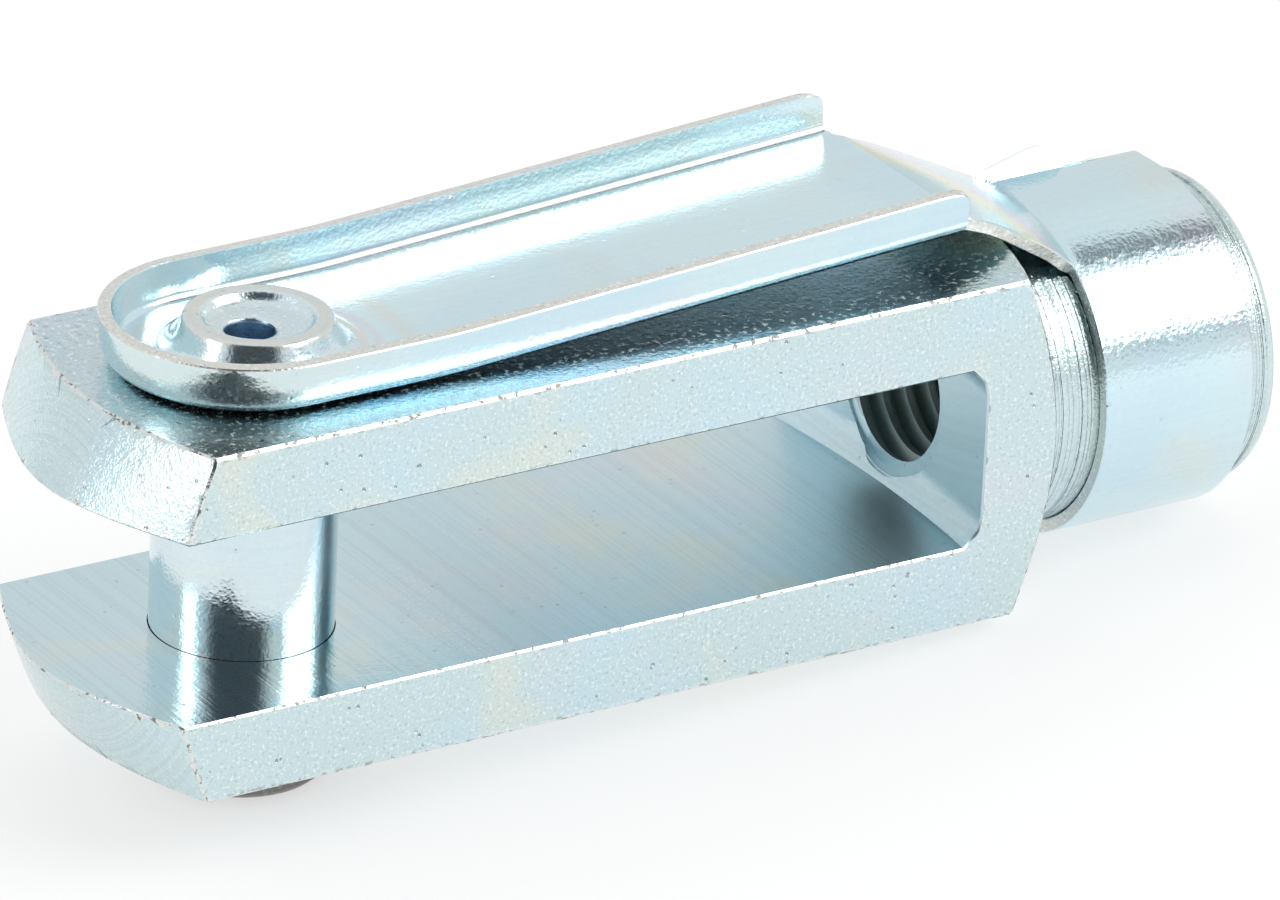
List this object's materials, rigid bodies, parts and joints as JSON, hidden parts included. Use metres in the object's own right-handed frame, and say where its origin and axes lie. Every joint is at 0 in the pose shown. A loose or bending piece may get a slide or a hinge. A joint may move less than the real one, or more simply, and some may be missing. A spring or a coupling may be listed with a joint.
{
  "type": "clevis rod end with spring clip pin",
  "caption": "Square-bodied fork rod end with a tapped round neck, a cross pin and a riveted sheet-metal spring clip that wraps the neck.",
  "frame": {"origin": "on the tapped hole's axis, 1 mm inside the neck's end face, where the full thread begins", "axes": "+X out of the tapped hole, away from the pin; +Z along the pin towards its riveted head; +Y completes the frame and is the side on which the clasp is open"},
  "size_m": [0.0732, 0.02, 0.0285],
  "materials": {
    "plated_steel_bar": "bright zinc plating over drawn and milled steel, satin",
    "plated_steel_pin": "bright zinc plating over turned steel, glossy",
    "plated_spring_sheet": "bright zinc plating over rolled spring sheet, glossy with a faint rainbow tint"
  },
  "bodies": {
    "fork": {"fork_head": "plated_steel_bar"},
    "clip": {"clevis_pin": "plated_steel_pin", "spring_clip": "plated_spring_sheet"}
  },
  "joints": [
    {"name": "clip_swing", "type": "hinge", "parent": "fork", "child": "clip", "pos_m": [-0.05976, 0, 0], "axis": [0, 0, -1], "range_deg": [0, 180]}
  ]
}
